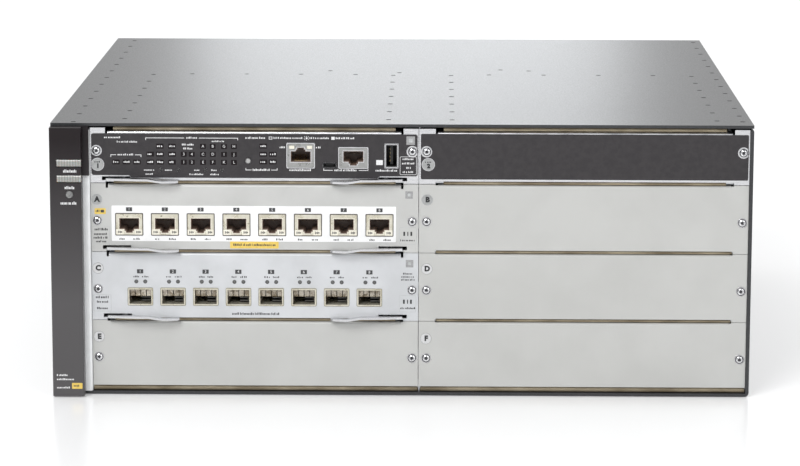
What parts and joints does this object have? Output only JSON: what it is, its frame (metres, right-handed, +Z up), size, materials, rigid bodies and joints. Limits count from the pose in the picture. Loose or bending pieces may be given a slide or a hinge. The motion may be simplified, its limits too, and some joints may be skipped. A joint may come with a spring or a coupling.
{
  "type": "modular chassis switch",
  "caption": "Rack-mount chassis switch with slide-in port modules, blank covers, a side fan tray and plug-in power supplies.",
  "frame": {"origin": "centre of the bounding box's bottom face, on the surface the chassis stands on", "axes": "+Z up, +X to the right seen from the front, +Y from the module fronts to the rear panel"},
  "size_m": [0.4444, 0.4734, 0.1753],
  "materials": {
    "case_paint": "satin dark metallic grey paint",
    "zinc_steel": "zinc plated sheet",
    "bare_steel": "bright bare steel",
    "dark_front": "charcoal front overlay on bright sheet",
    "module_paint": "light grey satin paint",
    "cover_paint": "light warm grey satin paint",
    "bezel_plastic": "fine satin charcoal moulding",
    "lens_plastic": "frosted translucent plastic",
    "gasket_cloth": "woven conductive cloth over foam",
    "board_green": "green circuit board",
    "port_metal": "tin plated shield",
    "button_plastic": "pale moulded plastic",
    "black_plastic": "black moulded plastic",
    "latch_plastic": "dark grey moulded plastic"
  },
  "bodies": {
    "chassis": {"base_pan": "case_paint", "top_cover": "case_paint", "rear_panel": "case_paint", "fan_bay_wall": "zinc_steel", "centre_divider": "zinc_steel", "slot_shelves": "zinc_steel", "screw_blocks": "zinc_steel", "rear_bulkhead": "zinc_steel", "backplane": "board_green", "supply_tunnels": "zinc_steel", "front_bezel": "bezel_plastic", "status_lenses": "lens_plastic", "emi_gaskets": "gasket_cloth", "blank_management": "dark_front", "blank_slot_b": "cover_paint", "blank_slot_d": "cover_paint", "blank_slot_e": "cover_paint", "blank_slot_f": "cover_paint", "blank_screws": "bare_steel"},
    "management_module": {"management_carrier": "dark_front", "management_board": "board_green", "management_network_jack": "port_metal", "management_console_jack": "port_metal", "management_usb_port": "port_metal", "management_small_usb": "port_metal", "management_screws": "bare_steel"},
    "jack_module": {"jack_module_carrier": "module_paint", "jack_module_board": "board_green", "jack_module_jacks": "port_metal", "jack_module_screws": "bare_steel"},
    "cage_module": {"cage_module_carrier": "module_paint", "cage_module_board": "board_green", "cage_module_cages": "port_metal", "cage_module_screws": "bare_steel"},
    "fan_tray": {"fan_tray_frame": "zinc_steel", "fan_housings": "black_plastic"},
    "supply_1": {"supply_1_case": "zinc_steel", "supply_1_inlet": "black_plastic"},
    "supply_2": {"supply_2_case": "zinc_steel", "supply_2_inlet": "black_plastic"},
    "management_left_lever": {"management_left_lever": "bare_steel"},
    "management_right_lever": {"management_right_lever": "bare_steel"},
    "jack_module_left_lever": {"jack_module_left_lever": "bare_steel"},
    "jack_module_right_lever": {"jack_module_right_lever": "bare_steel"},
    "cage_module_left_lever": {"cage_module_left_lever": "bare_steel"},
    "cage_module_right_lever": {"cage_module_right_lever": "bare_steel"},
    "mode_button": {"mode_button": "button_plastic"},
    "module_test_button": {"module_test_button": "button_plastic"},
    "clear_button": {"clear_button": "button_plastic"},
    "shutdown_button": {"shutdown_button": "button_plastic"},
    "reset_button": {"reset_button": "button_plastic"},
    "fan_rotor_1": {"fan_rotor_1": "black_plastic"},
    "fan_rotor_2": {"fan_rotor_2": "black_plastic"},
    "fan_rotor_3": {"fan_rotor_3": "black_plastic"},
    "fan_rotor_4": {"fan_rotor_4": "black_plastic"},
    "supply_1_latch": {"supply_1_latch": "latch_plastic"},
    "supply_1_rotor": {"supply_1_rotor": "black_plastic"},
    "supply_2_latch": {"supply_2_latch": "latch_plastic"},
    "supply_2_rotor": {"supply_2_rotor": "black_plastic"}
  },
  "joints": [
    {"name": "management_module_slide", "type": "slide", "parent": "chassis", "child": "management_module", "axis": [0, -1, 0], "range_m": [0, 0.24]},
    {"name": "management_left_lever_hinge", "type": "hinge", "parent": "management_module", "child": "management_left_lever", "pos_m": [-0.1766, -0.22145, 0.1397], "axis": [0, 0, 1], "range_deg": [-60, 0]},
    {"name": "management_right_lever_hinge", "type": "hinge", "parent": "management_module", "child": "management_right_lever", "pos_m": [-0.0101, -0.22145, 0.1397], "axis": [0, 0, 1], "range_deg": [0, 60]},
    {"name": "jack_module_slide", "type": "slide", "parent": "chassis", "child": "jack_module", "axis": [0, -1, 0], "range_m": [0, 0.24]},
    {"name": "jack_module_left_lever_hinge", "type": "hinge", "parent": "jack_module", "child": "jack_module_left_lever", "pos_m": [-0.1766, -0.22145, 0.0953], "axis": [0, 0, 1], "range_deg": [-60, 0]},
    {"name": "jack_module_right_lever_hinge", "type": "hinge", "parent": "jack_module", "child": "jack_module_right_lever", "pos_m": [-0.0101, -0.22145, 0.0953], "axis": [0, 0, 1], "range_deg": [0, 60]},
    {"name": "cage_module_slide", "type": "slide", "parent": "chassis", "child": "cage_module", "axis": [0, -1, 0], "range_m": [0, 0.24]},
    {"name": "cage_module_left_lever_hinge", "type": "hinge", "parent": "cage_module", "child": "cage_module_left_lever", "pos_m": [-0.1766, -0.22145, 0.051], "axis": [0, 0, 1], "range_deg": [-60, 0]},
    {"name": "cage_module_right_lever_hinge", "type": "hinge", "parent": "cage_module", "child": "cage_module_right_lever", "pos_m": [-0.0101, -0.22145, 0.051], "axis": [0, 0, 1], "range_deg": [0, 60]},
    {"name": "mode_button_press", "type": "slide", "parent": "management_module", "child": "mode_button", "axis": [0, 1, 0], "range_m": [0, 0.0008], "stiffness_N_per_m": 600, "springref_m": -0.0008},
    {"name": "module_test_button_press", "type": "slide", "parent": "management_module", "child": "module_test_button", "axis": [0, 1, 0], "range_m": [0, 0.0008], "stiffness_N_per_m": 600, "springref_m": -0.0008},
    {"name": "clear_button_press", "type": "slide", "parent": "management_module", "child": "clear_button", "axis": [0, 1, 0], "range_m": [0, 0.0008], "stiffness_N_per_m": 600, "springref_m": -0.0008},
    {"name": "shutdown_button_press", "type": "slide", "parent": "management_module", "child": "shutdown_button", "axis": [0, 1, 0], "range_m": [0, 0.0008], "stiffness_N_per_m": 600, "springref_m": -0.0008},
    {"name": "reset_button_press", "type": "slide", "parent": "management_module", "child": "reset_button", "axis": [0, 1, 0], "range_m": [0, 0.0008], "stiffness_N_per_m": 600, "springref_m": -0.0008},
    {"name": "fan_tray_slide", "type": "slide", "parent": "chassis", "child": "fan_tray", "axis": [0, 1, 0], "range_m": [0, 0.43]},
    {"name": "fan_rotor_1_spin", "type": "hinge", "parent": "fan_tray", "child": "fan_rotor_1", "pos_m": [-0.21185, -0.15725, 0.04553], "axis": [1, 0, 0], "continuous": true},
    {"name": "fan_rotor_2_spin", "type": "hinge", "parent": "fan_tray", "child": "fan_rotor_2", "pos_m": [-0.21185, -0.15725, 0.12767], "axis": [1, 0, 0], "continuous": true},
    {"name": "fan_rotor_3_spin", "type": "hinge", "parent": "fan_tray", "child": "fan_rotor_3", "pos_m": [-0.21185, -0.07325, 0.04553], "axis": [1, 0, 0], "continuous": true},
    {"name": "fan_rotor_4_spin", "type": "hinge", "parent": "fan_tray", "child": "fan_rotor_4", "pos_m": [-0.21185, -0.07325, 0.12767], "axis": [1, 0, 0], "continuous": true},
    {"name": "supply_1_slide", "type": "slide", "parent": "chassis", "child": "supply_1", "axis": [0, 1, 0], "range_m": [0, 0.2]},
    {"name": "supply_1_latch_hinge", "type": "hinge", "parent": "supply_1", "child": "supply_1_latch", "pos_m": [-0.07635, 0.21865, 0.0482], "axis": [1, 0, 0], "range_deg": [-18, 0], "stiffness_Nm_per_rad": 0.05, "springref_deg": 6.88},
    {"name": "supply_1_rotor_spin", "type": "hinge", "parent": "supply_1", "child": "supply_1_rotor", "pos_m": [-0.12635, 0.19965, 0.0442], "axis": [0, 1, 0], "continuous": true},
    {"name": "supply_2_slide", "type": "slide", "parent": "chassis", "child": "supply_2", "axis": [0, 1, 0], "range_m": [0, 0.2]},
    {"name": "supply_2_latch_hinge", "type": "hinge", "parent": "supply_2", "child": "supply_2_latch", "pos_m": [0.13285, 0.21865, 0.0482], "axis": [1, 0, 0], "range_deg": [-18, 0], "stiffness_Nm_per_rad": 0.05, "springref_deg": 6.88},
    {"name": "supply_2_rotor_spin", "type": "hinge", "parent": "supply_2", "child": "supply_2_rotor", "pos_m": [0.08285, 0.19965, 0.0442], "axis": [0, 1, 0], "continuous": true}
  ]
}
